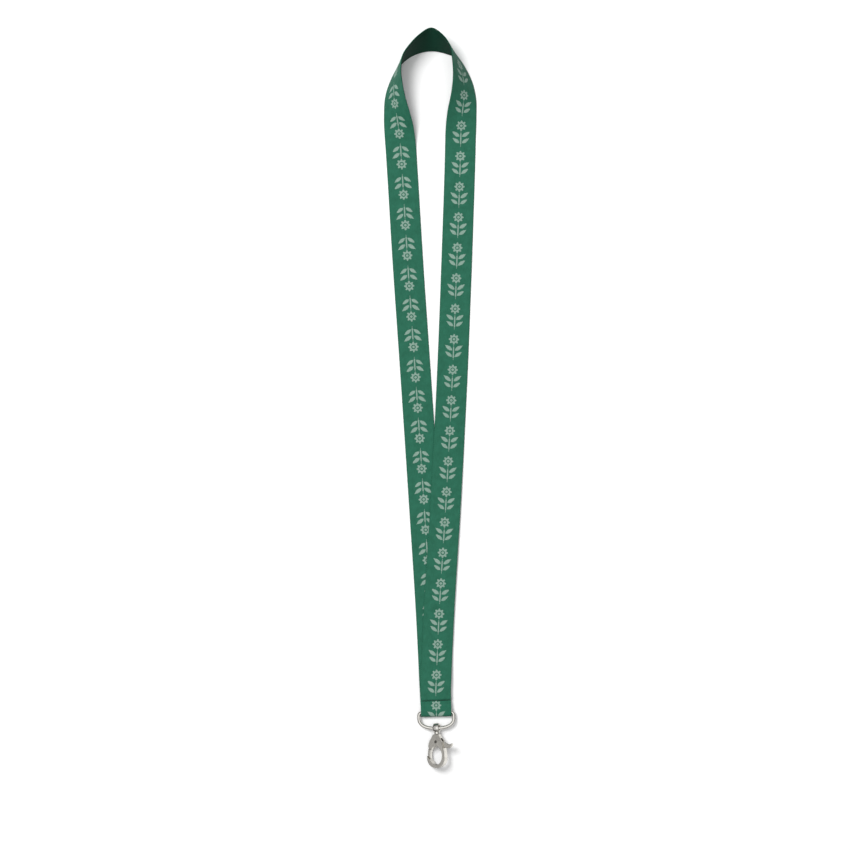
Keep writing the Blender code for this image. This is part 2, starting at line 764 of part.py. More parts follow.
def build():
    """Build every piece in its own place."""
    clear_scene()
    cloth = material("ribbon_green", (0.03, 0.21, 0.12), 0.6, 0.0)
    thread = material("thread_green", (0.01, 0.08, 0.045), 0.7, 0.0)
    nickel = material("nickel_wire", (0.66, 0.65, 0.62), 0.22, 1.0)
    cast = material("cast_nickel", (0.6, 0.58, 0.54), 0.32, 1.0)
    dark_steel = material("pin_steel", (0.25, 0.24, 0.23), 0.4, 1.0)
    spring_steel = material("spring_steel", (0.45, 0.45, 0.46), 0.3, 1.0)

    make_ribbon(cloth)
    top = FRONT_Z + RIBBON_THICKNESS / 2 + THREAD_GAP + THREAD_DIAMETER / 2
    make_seam_thread("seam_needle_thread", top, STITCH_RISE, thread)
    make_seam_thread("seam_bobbin_thread", THREAD_DIAMETER / 2, 0.0, thread)

    eye_tilt = EYE_RING_RADIUS * math.cos(EYE_ROLL) + math.hypot(
        EYE_STOCK / 2 * math.cos(EYE_ROLL), EYE_WIDTH / 2 * math.sin(EYE_ROLL)
    )
    eye_height = eye_tilt + EYE_TABLE_GAP
    ring_tilt = math.asin((eye_height - BAR_Z) / RING_REACH)
    yaw = Matrix.Rotation(HARDWARE_YAW, 4, "Z")
    bar = Matrix.Translation((HARDWARE_X, BAR_Y, BAR_Z))
    ring_frame = bar @ yaw @ Matrix.Rotation(-ring_tilt, 4, "X")
    make_wire("d_ring", ring_line(), WIRE_DIAMETER, True, ring_frame, nickel, sides=4)

    wire_point = ring_frame @ Vector((0, -RING_REACH, 0))
    stem_frame = Matrix.Translation(wire_point) @ yaw @ Matrix.Rotation(-STEM_PITCH, 4, "X")
    make_eye(stem_frame @ Matrix.Rotation(-EYE_ROLL, 4, "Y"), nickel)

    pin_down = BALL_FROM_EYE + BALL_Y - EYE_SLACK
    rolled = stem_frame @ Matrix.Rotation(-CLASP_ROLL, 4, "Y")
    clasp_frame = rolled @ Matrix.Translation((0, -pin_down, 0))
    make_body(clasp_frame, cast)
    make_gate(clasp_frame, cast)
    make_pin(clasp_frame, dark_steel)
    make_spring(clasp_frame, spring_steel)


build()
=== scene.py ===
"""Neck lanyard: a woven ribbon with a flower-and-leaf weave, a D-ring and a swivelling lobster hook.

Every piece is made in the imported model's own frame, in metres, and rides on the body that carries it.
"""

import json
import logging
import math
from dataclasses import dataclass
from enum import Enum

import bmesh
import bpy
from mathutils import Matrix, Vector


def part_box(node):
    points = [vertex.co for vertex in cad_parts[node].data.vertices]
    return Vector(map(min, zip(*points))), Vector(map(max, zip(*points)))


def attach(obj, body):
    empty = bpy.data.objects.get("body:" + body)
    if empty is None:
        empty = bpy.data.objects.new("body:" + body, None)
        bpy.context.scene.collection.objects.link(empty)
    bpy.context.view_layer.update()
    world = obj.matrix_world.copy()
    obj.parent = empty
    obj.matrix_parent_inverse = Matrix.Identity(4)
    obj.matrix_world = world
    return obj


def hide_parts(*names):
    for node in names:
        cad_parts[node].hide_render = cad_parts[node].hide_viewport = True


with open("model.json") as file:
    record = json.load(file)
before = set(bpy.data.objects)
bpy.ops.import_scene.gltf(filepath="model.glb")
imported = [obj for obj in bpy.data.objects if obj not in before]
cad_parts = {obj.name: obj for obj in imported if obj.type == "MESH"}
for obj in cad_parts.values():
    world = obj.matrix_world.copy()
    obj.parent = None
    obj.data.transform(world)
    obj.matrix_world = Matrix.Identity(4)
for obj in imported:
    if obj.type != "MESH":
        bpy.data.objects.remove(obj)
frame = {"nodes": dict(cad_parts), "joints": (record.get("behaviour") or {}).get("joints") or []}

LOG = logging.getLogger("lanyard")
MM = 0.001
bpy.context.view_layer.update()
JOINTS = {joint["name"]: joint for joint in frame["joints"]}
Socket = bpy.types.NodeSocket


def joint_point(name: str) -> Vector:
    """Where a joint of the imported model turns."""
    return Vector(JOINTS[name]["pos_m"])


def joint_axis(name: str) -> Vector:
    """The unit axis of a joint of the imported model."""
    return Vector(JOINTS[name]["axis"]).normalized()


def placed(origin: Vector, x: Vector, y: Vector) -> Matrix:
    """A right-handed frame from its origin, its X axis and its Y axis.

    Args:
        origin: Where the frame stands.
        x: Direction of its X axis.
        y: Direction near its Y axis.

    Returns:
        The frame as a matrix.
    """
    z = x.cross(y).normalized()
    y = z.cross(x).normalized()
    turn = Matrix((x.normalized(), y, z)).transposed().to_4x4()
    return Matrix.Translation(origin) @ turn


class Graph:
    """Builds one material's nodes around its Principled shader."""

    def __init__(self, name: str) -> None:
        """Start a material.

        Args:
            name: The material's name.
        """
        self.material = bpy.data.materials.new(name)
        self.material.use_nodes = True
        self.tree = self.material.node_tree
        self.shader = self.tree.nodes["Principled BSDF"]

    def node(self, kind: str, **settings: object) -> bpy.types.Node:
        """Add a node and set its own properties."""
        made = self.tree.nodes.new(kind)
        for key, value in settings.items():
            setattr(made, key, value)
        return made

    def feed(self, socket: Socket, value: object) -> None:
        """Link a socket to another, or give it a plain value."""
        if isinstance(value, bpy.types.NodeSocket):
            self.tree.links.new(value, socket)
        else:
            socket.default_value = value

    def math(self, operation: str, *values: object) -> Socket:
        """A Math node's result.

        Args:
            operation: The node's operation.
            *values: Sockets or numbers, in the node's order.

        Returns:
            The node's output.
        """
        made = self.node("ShaderNodeMath", operation=operation)
        for socket, value in zip(made.inputs, values):
            self.feed(socket, value)
        return made.outputs[0]

    def between(self, value: Socket, low: float, high: float, out_low: float, out_high: float) -> Socket:
        """Map a value from one range to another, held at its ends."""
        made = self.node("ShaderNodeMapRange", clamp=True)
        for socket, number in zip(made.inputs, (value, low, high, out_low, out_high)):
            self.feed(socket, number)
        return made.outputs[0]

    def blend(self, share: object, first: object, second: object) -> Socket:
        """Mix two colours by a share."""
        made = self.node("ShaderNodeMix", data_type="RGBA", clamp_factor=True)
        self.feed(made.inputs[0], share)
        self.feed(made.inputs[6], first)
        self.feed(made.inputs[7], second)
        return made.outputs[2]

    def noise(self, vector: Socket, scale: float, detail: float = 2.0) -> Socket:
        """A noise pattern's value."""
        made = self.node("ShaderNodeTexNoise")
        self.feed(made.inputs["Vector"], vector)
        made.inputs["Scale"].default_value = scale
        made.inputs["Detail"].default_value = detail
        return made.outputs[0]

    def stretched(self, vector: Socket, scale: tuple[float, float, float]) -> Socket:
        """A vector scaled along its three axes."""
        made = self.node("ShaderNodeMapping", vector_type="POINT")
        self.feed(made.inputs["Vector"], vector)
        made.inputs["Scale"].default_value = scale
        return made.outputs[0]

    def object_place(self) -> Socket:
        """A point's place on the piece."""
        return self.node("ShaderNodeTexCoord").outputs["Object"]

    def bump(self, height: Socket, depth: float, strength: float = 1.0) -> None:
        """Give the shader relief.

        Args:
            height: A height from 0 to 1.
            depth: The relief's depth in metres.
            strength: How much of it shows.
        """
        made = self.node("ShaderNodeBump")
        made.inputs["Strength"].default_value = strength
        made.inputs["Distance"].default_value = depth
        self.feed(made.inputs["Height"], height)
        self.feed(self.shader.inputs["Normal"], made.outputs[0])

    def set(self, **values: object) -> None:
        """Set or link the shader's sockets, named with underscores for spaces."""
        for key, value in values.items():
            self.feed(self.shader.inputs[key.replace("_", " ")], value)


@dataclass(frozen=True)
class Leaf:
    """One pointed leaf or stalk of the woven motif, in millimetres from the motif's middle."""

    across: float
    along: float
    length: float
    width: float
    turn: float


@dataclass(frozen=True)
class Motif:
    """A plain daisy on a straight stem with mirrored pairs of leaves, repeated at one even pitch."""

    repeat: float = 20.0
    pairs: tuple[Leaf, ...] = (
        Leaf(3.3, -0.4, 6.0, 2.3, 35),
        Leaf(3.1, -4.6, 5.6, 2.1, 35),
    )
    stem: Leaf = Leaf(0.0, -3.0, 11.0, 0.9, 90)
    head_along: float = 5.2
    head_radius: float = 2.9
    petals: int = 8
    petal_depth: float = 0.55
    eye_radius: float = 1.15
    eye_line: float = 0.3

    def leaves(self) -> list[Leaf]:
        """The stem and both leaves of every pair."""
        mirrored = [Leaf(-p.across, p.along, p.length, p.width, 180 - p.turn) for p in self.pairs]
        return [self.stem, *self.pairs, *mirrored]


@dataclass(frozen=True)
class RibbonCloth:
    """The ribbon's woven face: a satin ground with the motif floated on it in a paler yarn."""

    ground: tuple[float, float, float, float] = (0.020, 0.142, 0.086, 1.0)
    ground_deep: tuple[float, float, float, float] = (0.011, 0.100, 0.057, 1.0)
    edge_yarn: tuple[float, float, float, float] = (0.045, 0.200, 0.130, 1.0)
    yarn: tuple[float, float, float, float] = (0.262, 0.375, 0.315, 1.0)
    yarn_deep: tuple[float, float, float, float] = (0.185, 0.295, 0.240, 1.0)
    half_width: float = 10.0
    warp_pitch: float = 0.36
    weft_pitch: float = 0.30
    loop_pitch: float = 1.3
    motif: Motif = Motif()

    def leaf_height(self, g: Graph, place: Socket, leaf: Leaf) -> Socket:
        """How far inside a leaf a place lies.

        Args:
            g: The material's nodes.
            place: The place from the motif's middle.
            leaf: The leaf.

        Returns:
            Above 0 inside the leaf.
        """
        local = g.node("ShaderNodeMapping", vector_type="TEXTURE")
        g.feed(local.inputs["Vector"], place)
        local.inputs["Location"].default_value = (leaf.across, leaf.along, 0)
        local.inputs["Rotation"].default_value = (0, 0, math.radians(leaf.turn))
        local.inputs["Scale"].default_value = (leaf.length / 2, leaf.width / 2, 1)
        parts = g.node("ShaderNodeSeparateXYZ")
        g.feed(parts.inputs[0], local.outputs[0])
        x, y = parts.outputs[0], parts.outputs[1]
        belly = g.math("SUBTRACT", 1.0, g.math("MULTIPLY", x, x))
        lean = g.math("MAXIMUM", g.math("MULTIPLY_ADD", x, -0.28, 1.0), 0.1)
        return g.math("SUBTRACT", g.math("MULTIPLY", belly, lean), g.math("ABSOLUTE", y))

    def head_mask(self, g: Graph, across: Socket, along: Socket) -> tuple[Socket, Socket]:
        """The flower head's shape and the ring of ground round its eye.

        Args:
            g: The material's nodes.
            across: Distance across the ribbon from the motif's middle.
            along: Distance along the ribbon from the motif's middle.

        Returns:
            Above 0 inside the head, and 1 where the ring shows the ground.
        """
        m = self.motif
        up = g.math("SUBTRACT", along, m.head_along)
        out = g.math("SQRT", g.math("ADD", g.math("MULTIPLY", across, across), g.math("MULTIPLY", up, up)))
        angle = g.math("ARCTAN2", up, across)
        wave = g.math("COSINE", g.math("MULTIPLY", angle, float(m.petals)))
        rim = g.math("MULTIPLY_ADD", wave, m.petal_depth, m.head_radius)
        return g.math("SUBTRACT", rim, out), g.math("COMPARE", out, m.eye_radius, m.eye_line)

    def motif_mask(self, g: Graph, across: Socket, along: Socket) -> Socket:
        """1 where the motif's yarn floats on the face and 0 on the ground.

        Args:
            g: The material's nodes.
            across: Distance across the ribbon from its middle, in millimetres.
            along: Distance along the ribbon, in millimetres.

        Returns:
            The mask.
        """
        m = self.motif
        across = g.math("SNAP", across, self.warp_pitch * 0.75)
        along = g.math("SNAP", along, self.weft_pitch)
        row = g.math("FLOOR", g.math("MULTIPLY_ADD", along, 1 / m.repeat, 0.5))
        along = g.math("SUBTRACT", along, g.math("MULTIPLY", row, m.repeat))
        place = g.node("ShaderNodeCombineXYZ")
        g.feed(place.inputs[0], across)
        g.feed(place.inputs[1], along)
        inside, ring = self.head_mask(g, across, along)
        plant = None
        for leaf in m.leaves():
            height = self.leaf_height(g, place.outputs[0], leaf)
            plant = height if plant is None else g.math("MAXIMUM", plant, height)
        plant = g.math("GREATER_THAN", plant, 0.0)
        head = g.math("MULTIPLY", g.math("GREATER_THAN", inside, 0.0), g.math("SUBTRACT", 1.0, ring))
        beside = g.math("LESS_THAN", inside, -0.25)
        return g.math("MAXIMUM", g.math("MULTIPLY", plant, beside), head)

    def material(self) -> bpy.types.Material:
        """The face's material, on the UV map that holds the flat cloth in millimetres."""
        g = Graph("ribbon_face")
        cloth = g.node("ShaderNodeUVMap", uv_map="cloth").outputs[0]
        parts = g.node("ShaderNodeSeparateXYZ")
        g.feed(parts.inputs[0], cloth)
        across, along = parts.outputs[0], parts.outputs[1]
        mask = self.motif_mask(g, across, along)

        edge = g.math("ABSOLUTE", across)
        border = g.math("GREATER_THAN", edge, self.half_width - 0.75)
        rim = g.math("GREATER_THAN", edge, self.half_width - 0.28)
        beat = g.math("FRACT", g.math("DIVIDE", along, self.loop_pitch))
        loops = g.math("MULTIPLY", rim, g.math("LESS_THAN", beat, 0.42))
        mask = g.math("MULTIPLY", mask, g.math("SUBTRACT", 1.0, border))

        clouds = g.noise(cloth, 0.22, 3.0)
        threads = g.noise(g.stretched(cloth, (3.0, 0.35, 1.0)), 1.0, 2.0)
        picks = g.noise(g.stretched(cloth, (0.4, 3.4, 1.0)), 1.0, 2.0)
        shade = g.math("MULTIPLY_ADD", clouds, 0.6, g.math("MULTIPLY", threads, 0.5))
        ground = g.blend(g.between(shade, 0.35, 0.78, 0.0, 1.0), self.ground_deep, self.ground)
        ground = g.blend(g.math("MULTIPLY", border, 0.45), ground, self.ground_deep)
        yarn = g.blend(g.between(picks, 0.3, 0.7, 0.0, 1.0), self.yarn_deep, self.yarn)
        colour = g.blend(mask, ground, yarn)
        colour = g.blend(g.math("MULTIPLY", loops, 0.7), colour, self.edge_yarn)

        warp = g.math("SINE", g.math("MULTIPLY", across, math.tau / self.warp_pitch))
        weft = g.math("SINE", g.math("MULTIPLY", along, math.tau / self.weft_pitch))
        slant = g.math("MULTIPLY_ADD", across, 0.5, along)
        twill = g.math("SINE", g.math("MULTIPLY", slant, math.tau / (4 * self.weft_pitch)))
        satin = g.math("MULTIPLY_ADD", warp, 0.22, g.math("MULTIPLY_ADD", twill, 0.14, 0.4))
        floats = g.math("MULTIPLY_ADD", weft, 0.26, 0.72)
        beads = g.math("MULTIPLY_ADD", loops, 0.3, g.math("MULTIPLY_ADD", weft, 0.15, 0.55))
        height = g.node("ShaderNodeMix", data_type="FLOAT")
        g.feed(height.inputs[0], mask)
        g.feed(height.inputs[2], satin)
        g.feed(height.inputs[3], floats)
        edged = g.node("ShaderNodeMix", data_type="FLOAT")
        g.feed(edged.inputs[0], rim)
        g.feed(edged.inputs[2], height.outputs[0])
        g.feed(edged.inputs[3], beads)
        g.bump(edged.outputs[0], 0.00012, 0.8)
        rough = g.between(mask, 0.0, 1.0, 0.62, 0.7)
        g.set(Base_Color=colour, Roughness=rough, Specular_IOR_Level=0.32)
        g.set(Sheen_Weight=0.04, Sheen_Roughness=0.45, Sheen_Tint=(0.6, 0.95, 0.8, 1.0))
        return g.material


@dataclass(frozen=True)
class PlainWeave:
    """A plain ribbed weave for the ribbon's reverse."""

    colour: tuple[float, float, float, float] = (0.0065, 0.050, 0.029, 1.0)
    deep: tuple[float, float, float, float] = (0.0045, 0.038, 0.022, 1.0)
    rib_pitch: float = 0.42
    warp_pitch: float = 0.36

    def material(self) -> bpy.types.Material:
        """The reverse's material, on the cloth's UV map."""
        g = Graph("ribbon_reverse")
        cloth = g.node("ShaderNodeUVMap", uv_map="cloth").outputs[0]
        parts = g.node("ShaderNodeSeparateXYZ")
        g.feed(parts.inputs[0], cloth)
        rib = g.math("SINE", g.math("MULTIPLY", parts.outputs[1], math.tau / self.rib_pitch))
        warp = g.math("SINE", g.math("MULTIPLY", parts.outputs[0], math.tau / self.warp_pitch))
        height = g.math("MULTIPLY_ADD", rib, 0.28, g.math("MULTIPLY_ADD", warp, 0.14, 0.5))
        streaks = g.noise(g.stretched(cloth, (0.5, 2.4, 1.0)), 1.0, 3.0)
        colour = g.blend(g.between(streaks, 0.3, 0.7, 0.0, 1.0), self.deep, self.colour)
        g.bump(height, 0.00012, 0.8)
        g.set(Base_Color=colour, Roughness=g.between(streaks, 0.3, 0.7, 0.66, 0.78))
        g.set(Specular_IOR_Level=0.15)
        return g.material


@dataclass(frozen=True)
class SewingThread:
    """Twisted sewing thread, painted lighter on the ridges of its plies and darker in the grooves between
    them: painted highlight and painted shade.
    """

    # colour is the painted shade in the grooves between the plies, and light is the painted highlight on
    # their ridges
    colour: tuple[float, float, float, float] = (0.003, 0.022, 0.013, 1.0)
    light: tuple[float, float, float, float] = (0.009, 0.062, 0.037, 1.0)
    ply_pitch: float = 0.0004

    def material(self) -> bpy.types.Material:
        """The thread's material, with its plies slanting round it, a painted highlight on their ridges and
        painted shade in their grooves.
        """
        g = Graph("sewing_thread")
        place = g.object_place()
        parts = g.node("ShaderNodeSeparateXYZ")
        g.feed(parts.inputs[0], place)
        slant = g.math("MULTIPLY_ADD", parts.outputs[1], 0.8, parts.outputs[0])
        ply = g.math("SINE", g.math("MULTIPLY", slant, math.tau / self.ply_pitch))
        share = g.between(ply, -1.0, 1.0, 0.0, 1.0)
        g.bump(share, 0.00005, 0.7)
        # The colour follows the plies' relief: painted shade in the grooves and a painted highlight on the
        # ridges.
        g.set(Base_Color=g.blend(share, self.colour, self.light), Roughness=0.6)
        g.set(Specular_IOR_Level=0.4, Sheen_Weight=0.1)
        return g.material


@dataclass(frozen=True)
class MetalFinish:
    """A plated or plain metal with slight unevenness, fine scratches and handling marks."""

    name: str
    colour: tuple[float, float, float, float]
    dull: tuple[float, float, float, float]
    roughness: float
    spread: float
    ripple: float

    def material(self) -> bpy.types.Material:
        """The metal's material."""
        g = Graph(self.name)
        place = g.object_place()
        cloud = g.noise(place, 420.0, 3.0)
        grain = g.noise(place, 5200.0, 2.0)
        marks = g.noise(g.stretched(place, (900.0, 5200.0, 2600.0)), 1.0, 2.0)
        worn = g.between(cloud, 0.42, 0.7, 0.0, 1.0)
        rough = g.math("MULTIPLY_ADD", worn, self.spread, self.roughness)
        rough = g.math("ADD", rough, g.between(marks, 0.6, 0.75, 0.0, self.spread * 0.6))
        height = g.math("MULTIPLY_ADD", grain, 0.35, g.math("MULTIPLY", cloud, 0.65))
        g.bump(height, self.ripple, 0.6)
        g.set(Base_Color=g.blend(g.math("MULTIPLY", worn, 0.6), self.colour, self.dull))
        g.set(Metallic=1.0, Roughness=rough)
        return g.material


class Finish(Enum):
    """The metals that the hardware is made of, with the rivet's darkened by painted shade."""

    WIRE = MetalFinish("nickel_wire", (0.80, 0.78, 0.73, 1), (0.68, 0.66, 0.61, 1), 0.13, 0.10, 0.00002)
    CAST = MetalFinish("cast_nickel", (0.72, 0.695, 0.64, 1), (0.58, 0.56, 0.51, 1), 0.20, 0.12, 0.00005)
    # The rivet's near-black colour is painted shade: it stands for the shade in the recessed pin hole round
    # the rivet's end.
    RIVET = MetalFinish("rivet_steel_painted_shade", (0.20, 0.19, 0.175, 1), (0.10, 0.095, 0.09, 1), 0.34, 0.15, 0.00003)
    SPRING = MetalFinish("spring_wire", (0.55, 0.55, 0.56, 1), (0.40, 0.40, 0.41, 1), 0.24, 0.10, 0.00001)


def to_object(name: str, bm: bmesh.types.BMesh, materials: list[bpy.types.Material]) -> bpy.types.Object:
    """Make a piece from its bmesh, smooth shaded but for its sharp edges.

    Args:
        name: The piece's name.
        bm: Its shape, in the model's frame. It is freed.
        materials: Its materials.

    Returns:
        The piece.
    """
    mesh = bpy.data.meshes.new(name)
    bm.to_mesh(mesh)
    bm.free()
    mesh.shade_smooth()
    mesh.set_sharp_from_angle(angle=math.radians(50))
    for material in materials:
        mesh.materials.append(material)
    obj = bpy.data.objects.new(name, mesh)
    bpy.context.collection.objects.link(obj)
    return obj


def settle(obj: bpy.types.Object) -> None:
    """Apply a piece's modifiers."""
    depsgraph = bpy.context.evaluated_depsgraph_get()
    mesh = bpy.data.meshes.new_from_object(obj.evaluated_get(depsgraph))
    obj.modifiers.clear()
    obj.data = mesh


def combine(obj: bpy.types.Object, other: bpy.types.Object, operation: str) -> None:
    """Boolean a piece with another, which is then removed."""
    modifier = obj.modifiers.new(operation, "BOOLEAN")
    modifier.operation = operation
    modifier.solver = "EXACT"
    modifier.object = other
    settle(obj)
    bpy.data.objects.remove(other)


def soften(obj: bpy.types.Object, voxel: float, passes: int) -> None:
    """Give a piece the even skin and softened edges of a casting.

    Args:
        obj: The piece.
        voxel: The skin's grid size in metres.
        passes: How many smoothing passes it gets.
    """
    remesh = obj.modifiers.new("Skin", "REMESH")
    remesh.mode = "VOXEL"
    remesh.voxel_size = voxel
    remesh.use_smooth_shade = True
    smooth = obj.modifiers.new("Soften", "SMOOTH")
    smooth.factor = 0.5
    smooth.iterations = passes
    settle(obj)
    obj.data.shade_smooth()


def smooth_through(
    points: list[tuple[float, ...]], steps: int, closed: bool = False
) -> list[tuple[float, ...]]:
    """Samples of one smooth curve through points of any number of channels.

    Args:
        points: The points.
        steps: Samples between one point and the next.
        closed: Whether the curve returns to its start.

    Returns:
        The samples, without a repeat of the first if closed.
    """
    count = len(points)
    spans = count if closed else count - 1

    def pick(i: int) -> tuple[float, ...]:
        """A point by number, past the ends too."""
        return points[i % count] if closed else points[min(max(i, 0), count - 1)]

    samples = []
    for i in range(spans):
        before, here, after, last = (pick(i + k) for k in (-1, 0, 1, 2))
        for step in range(steps):
            t = step / steps
            weights = (
                -0.5 * t + t * t - 0.5 * t**3,
                1 - 2.5 * t * t + 1.5 * t**3,
                0.5 * t + 2 * t * t - 1.5 * t**3,
                -0.5 * t * t + 0.5 * t**3,
            )
            channels = zip(before, here, after, last)
            samples.append(tuple(sum(w * c for w, c in zip(weights, four)) for four in channels))
    if not closed:
        samples.append(tuple(points[-1]))
    return samples


def rail(points: list[Vector], closed: bool, up: Vector) -> list[Matrix]:
    """Frames along a line of points, each with Z along the line.

    Args:
        points: The line.
        closed: Whether it returns to its start.
        up: A direction that the line starts square to.

    Returns:
        One frame for each point.
    """
    frames = []
    for i, point in enumerate(points):
        before = points[i - 1] if closed or i > 0 else point
        after = points[(i + 1) % len(points)] if closed or i < len(points) - 1 else point
        along = (after - before).normalized()
        side = up.cross(along).normalized()
        up = along.cross(side)
        turn = Matrix((side, up, along)).transposed().to_4x4()
        frames.append(Matrix.Translation(point) @ turn)
    return frames


def sweep(frames: list[Matrix], radius: float, sides: int, closed: bool) -> bmesh.types.BMesh:
    """A round wire along a rail.

    Args:
        frames: The rail's frames.
        radius: The wire's radius.
        sides: Corners of its section.
        closed: Whether it joins its own start.

    Returns:
        The wire's shape.
    """
    bm = bmesh.new()
    ring = bmesh.ops.create_circle(bm, cap_ends=False, segments=sides, radius=radius, matrix=frames[0])
    edges = list({edge for vert in ring["verts"] for edge in vert.link_edges})
    first = list(edges)
    for before, after in zip(frames, frames[1:]):
        grown = bmesh.ops.extrude_edge_only(bm, edges=edges)["geom"]
        verts = [item for item in grown if isinstance(item, bmesh.types.BMVert)]
        ends = set(verts)
        edges = [
            item
            for item in grown
            if isinstance(item, bmesh.types.BMEdge) and set(item.verts) <= ends
        ]
        bmesh.ops.transform(bm, matrix=after @ before.inverted(), verts=verts)
    if closed:
        bmesh.ops.bridge_loops(bm, edges=first + edges)
    else:
        bmesh.ops.holes_fill(bm, edges=bm.edges, sides=0)
    bmesh.ops.recalc_face_normals(bm, faces=bm.faces)
    return bm


def extruded(outline: list[tuple[float, float]], low: float, high: float) -> bmesh.types.BMesh:
    """A flat outline in the XY plane given depth along Z.

    Args:
        outline: Its corners in metres.
        low: Where its lower face lies.
        high: Where its upper face lies.

    Returns:
        The solid.
    """
    bm = bmesh.new()
    face = bm.faces.new([bm.verts.new((x, y, low)) for x, y in outline])
    grown = bmesh.ops.extrude_face_region(bm, geom=[face])["geom"]
    tops = [item for item in grown if isinstance(item, bmesh.types.BMVert)]
    bmesh.ops.translate(bm, verts=tops, vec=(0, 0, high - low))
    bmesh.ops.recalc_face_normals(bm, faces=bm.faces)
    return bm


def rim_edges(bm: bmesh.types.BMesh) -> list[bmesh.types.BMEdge]:
    """The edges between a plate's two flat faces and its wall."""
    return [edge for edge in bm.edges if edge.calc_face_angle(0.0) > math.radians(60)]


def rounded(bm: bmesh.types.BMesh, width: float, segments: int) -> None:
    """Round a plate's rim.

    Args:
        bm: The plate.
        width: How wide the rounding is.
        segments: How many steps it takes.
    """
    bmesh.ops.bevel(
        bm,
        geom=rim_edges(bm),
        offset=width,
        segments=segments,
        profile=0.5,
        affect="EDGES",
        material=-1,
        clamp_overlap=True,
    )


def bar(radius: float, low: float, high: float, matrix: Matrix, sides: int = 48) -> bmesh.types.BMesh:
    """A cylinder along its frame's Z axis.

    Args:
        radius: Its radius.
        low: Where it starts along Z.
        high: Where it ends along Z.
        matrix: Its frame.
        sides: Corners of its section.

    Returns:
        The cylinder.
    """
    bm = bmesh.new()
    bmesh.ops.create_cone(
        bm,
        cap_ends=True,
        segments=sides,
        radius1=radius,
        radius2=radius,
        depth=high - low,
        matrix=matrix @ Matrix.Translation((0, 0, (low + high) / 2)),
    )
    return bm


def spun(points: list[Vector], axis: Vector, steps: int, closed: bool) -> bmesh.types.BMesh:
    """A line of points turned round an axis through the origin.

    Args:
        points: The line.
        axis: The axis.
        steps: How many steps the turn takes.
        closed: Whether the line returns to its start.

    Returns:
        The skin.
    """
    bm = bmesh.new()
    verts = [bm.verts.new(point) for point in points]
    edges = [bm.edges.new(pair) for pair in zip(verts, verts[1:])]
    if closed:
        edges.append(bm.edges.new((verts[-1], verts[0])))
    bmesh.ops.spin(
        bm, geom=verts + edges, cent=(0, 0, 0), axis=axis, angle=math.tau, steps=steps, use_merge=True
    )
    bmesh.ops.remove_doubles(bm, verts=bm.verts, dist=1e-7)
    bmesh.ops.recalc_face_normals(bm, faces=bm.faces)
    return bm


class RibbonRoute:
    """The ribbon's middle line with its side and face directions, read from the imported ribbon."""

    def __init__(self, node: bpy.types.Object) -> None:
        """Read the route.

        Args:
            node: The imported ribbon, a strip with four long sharp edges.
        """
        bm = bmesh.new()
        bm.from_mesh(node.data)
        bmesh.ops.remove_doubles(bm, verts=bm.verts, dist=1e-6)
        sharp = {e for e in bm.edges if e.calc_face_angle(0.0) > math.radians(60)}
        corners = {v for v in bm.verts if sum(e in sharp for e in v.link_edges) == 3}
        lines = [self.walk(corner, corners, sharp) for corner in corners]
        lines = [line for line in lines if line[0].y > line[-1].y]
        middle = sum((line[0] for line in lines), Vector()) / len(lines)
        order = {(line[0].x > middle.x, line[0].z < middle.z): line for line in lines}
        bm.free()
        stations = []
        for outer_face, inner_face, outer_back, inner_back in zip(
            order[True, True], order[False, True], order[True, False], order[False, False]
        ):
            place = (outer_face + inner_face + outer_back + inner_back) / 4
            side = (outer_face - inner_face).normalized()
            face = (outer_face - outer_back).normalized()
            stations.append((*place, *side, *face))
        self.stations = stations
        self.marks = [0.0]
        for here, after in zip(stations, stations[1:]):
            self.marks.append(self.marks[-1] + math.dist(here[:3], after[:3]))
        self.length = self.marks[-1]

    @staticmethod
    def walk(
        corner: bmesh.types.BMVert, corners: set[bmesh.types.BMVert], sharp: set[bmesh.types.BMEdge]
    ) -> list[Vector]:
        """Follow one long sharp edge from a corner to the strip's other end.

        Args:
            corner: Where it starts.
            corners: The strip's eight corners.
            sharp: Its sharp edges.

        Returns:
            The points along it.
        """
        points = [corner.co.copy()]
        last, here = corner, None
        for edge in corner.link_edges:
            if edge in sharp and edge.other_vert(corner) not in corners:
                here = edge.other_vert(corner)
        while True:
            points.append(here.co.copy())
            if here in corners:
                return points
            ahead = [e.other_vert(here) for e in here.link_edges if e in sharp]
            last, here = here, ahead[0] if ahead[1] is last else ahead[1]

    def slope(self, i: int) -> list[float]:
        """The rate of change of every channel at a station."""
        low, high = max(0, i - 1), min(len(self.marks) - 1, i + 1)
        span = self.marks[high] - self.marks[low]
        return [(b - a) / span for a, b in zip(self.stations[low], self.stations[high])]

    def at(self, distance: float) -> tuple[Vector, Vector, Vector]:
        """The route at a distance from the ribbon's tail.

        Args:
            distance: The distance along the middle, in metres.

        Returns:
            The middle, the direction to the outer edge and the direction out of the woven face.
        """
        distance = min(max(distance, 0.0), self.length)
        low, high = 0, len(self.marks) - 1
        while high - low > 1:
            centre = (low + high) // 2
            low, high = (centre, high) if self.marks[centre] <= distance else (low, centre)
        span = self.marks[high] - self.marks[low]
        t = (distance - self.marks[low]) / span
        weights = (
            2 * t**3 - 3 * t**2 + 1,
            (t**3 - 2 * t**2 + t) * span,
            3 * t**2 - 2 * t**3,
            (t**3 - t**2) * span,
        )
        rows = zip(self.stations[low], self.slope(low), self.stations[high], self.slope(high))
        values = [sum(w * c for w, c in zip(weights, four)) for four in rows]
        side = Vector(values[3:6]).normalized()
        face = Vector(values[6:9])
        face = (face - side * face.dot(side)).normalized()
        return Vector(values[:3]), side, face

    def where(self, y: float, first: float) -> float:
        """The distance past a first one at which the route crosses a line across the table."""
        step = 0.0002
        distance = first
        ahead = self.at(first)[0].y < y
        while (self.at(distance)[0].y < y) == ahead:
            distance += step
        return distance


def eased(value: float) -> float:
    """Ease from 0 to 1."""
    value = min(1.0, max(0.0, value))
    return value * value * (3 - 2 * value)


